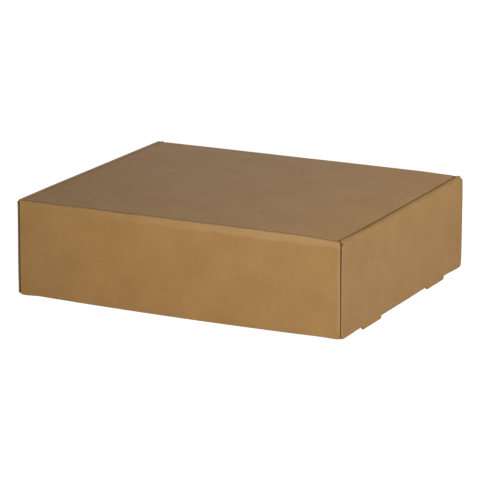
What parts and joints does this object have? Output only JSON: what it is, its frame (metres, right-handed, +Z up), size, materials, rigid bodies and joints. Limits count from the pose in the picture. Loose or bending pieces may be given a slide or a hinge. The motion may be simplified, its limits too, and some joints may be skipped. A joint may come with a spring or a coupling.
{
  "type": "closed cardboard box",
  "caption": "Closed mailer box of brown corrugated board: rolled double side walls with small feet, dust flaps, and a hinged lid with side wings and a tuck flap.",
  "frame": {"origin": "on the surface that the feet stand on, under the middle of the box", "axes": "+X along the lid's hinge, +Y from the hinge side to the tuck side, +Z up"},
  "size_m": [0.3, 0.25, 0.0838],
  "materials": {
    "kraft_board": "matte brown kraft liner"
  },
  "bodies": {
    "tray": {"tray": "kraft_board"},
    "lid": {"lid": "kraft_board"}
  },
  "joints": [
    {"name": "lid_hinge", "type": "hinge", "parent": "tray", "child": "lid", "pos_m": [0, -0.12465, 0.08345], "axis": [1, 0, 0], "range_deg": [0, 175]}
  ]
}
